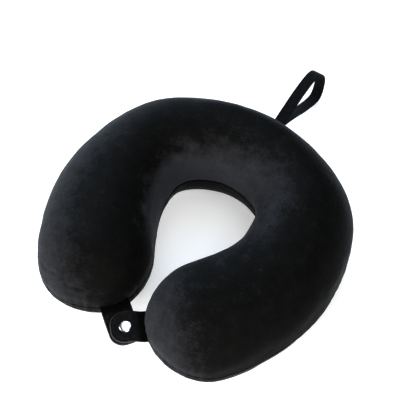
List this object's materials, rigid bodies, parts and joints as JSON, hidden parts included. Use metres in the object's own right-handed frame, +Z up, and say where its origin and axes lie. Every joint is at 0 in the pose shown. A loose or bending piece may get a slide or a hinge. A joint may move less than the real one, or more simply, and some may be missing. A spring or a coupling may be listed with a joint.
{
  "type": "u shaped neck pillow",
  "caption": "U shaped travel neck pillow with a foam core, a zipped velour cover, crossing snap tabs at the front and a webbing hanging loop at the back.",
  "frame": {"origin": "centre of the whole object's footprint, on the surface that the pillow lies on", "axes": "+Z up, -Y towards the opening of the U, where the tabs snap, +Y towards the hanging loop, +X to the wearer's side of the upper tab"},
  "size_m": [0.313, 0.4092, 0.104],
  "materials": {
    "velour": "short pile velour",
    "tab_fabric": "flat woven, edge stitched",
    "stiffener": "non-woven interfacing",
    "webbing": "ribbed webbing",
    "zipper_tape": "woven tape",
    "zipper_coil": "nylon coil",
    "zipper_metal": "black enamel",
    "snap_metal": "nickel plated",
    "liner": "thin knit",
    "foam": "open cell memory foam"
  },
  "bodies": {
    "pillow": {"foam_core": "foam", "inner_liner": "liner", "cover_top_panel": "velour", "cover_bottom_panel": "velour", "zipper_tape_upper": "zipper_tape", "zipper_tape_lower": "zipper_tape", "zipper_coil_upper": "zipper_coil", "zipper_coil_lower": "zipper_coil", "zipper_top_stop_upper": "zipper_metal", "zipper_top_stop_lower": "zipper_metal", "zipper_bottom_stop": "zipper_metal", "hanging_loop_sewn_end": "webbing", "upper_tab_sewn_end": "tab_fabric", "lower_tab_sewn_end": "tab_fabric"},
    "slider": {"zipper_slider": "zipper_metal"},
    "pull": {"zipper_pull": "zipper_metal"},
    "loop": {"hanging_loop": "webbing"},
    "upper_tab": {"upper_tab_top_ply": "tab_fabric", "upper_tab_stiffener": "stiffener", "upper_tab_bottom_ply": "tab_fabric", "snap_cap": "snap_metal", "snap_socket": "snap_metal"},
    "lower_tab": {"lower_tab_top_ply": "tab_fabric", "lower_tab_stiffener": "stiffener", "lower_tab_bottom_ply": "tab_fabric", "snap_stud": "snap_metal", "snap_eyelet": "snap_metal"}
  },
  "joints": [
    {"name": "upper_tab_lift", "type": "hinge", "parent": "pillow", "child": "upper_tab", "pos_m": [0.01939, -0.17662, 0.044], "axis": [-0.5934, 0.8049, 0], "range_deg": [0, 65], "stiffness_Nm_per_rad": 0.02},
    {"name": "lower_tab_drop", "type": "hinge", "parent": "pillow", "child": "lower_tab", "pos_m": [-0.01659, -0.17205, 0.044], "axis": [-0.5934, -0.8049, 0], "range_deg": [-75, 0], "stiffness_Nm_per_rad": 0.02},
    {"name": "hanging_loop_swing", "type": "hinge", "parent": "pillow", "child": "loop", "pos_m": [-0.0042, 0.0982, 0.044], "axis": [1, 0, 0], "range_deg": [-55, 80], "stiffness_Nm_per_rad": 0.02},
    {"name": "zipper_slide", "type": "hinge", "parent": "pillow", "child": "slider", "pos_m": [-0.0085, -0.07, 0.044], "axis": [0, 0, 1], "range_deg": [0, 30.8]},
    {"name": "zipper_pull_flip", "type": "hinge", "parent": "slider", "child": "pull", "pos_m": [-0.04345, 0.09305, 0.044], "axis": [0, 0, -1], "range_deg": [0, 160]}
  ]
}
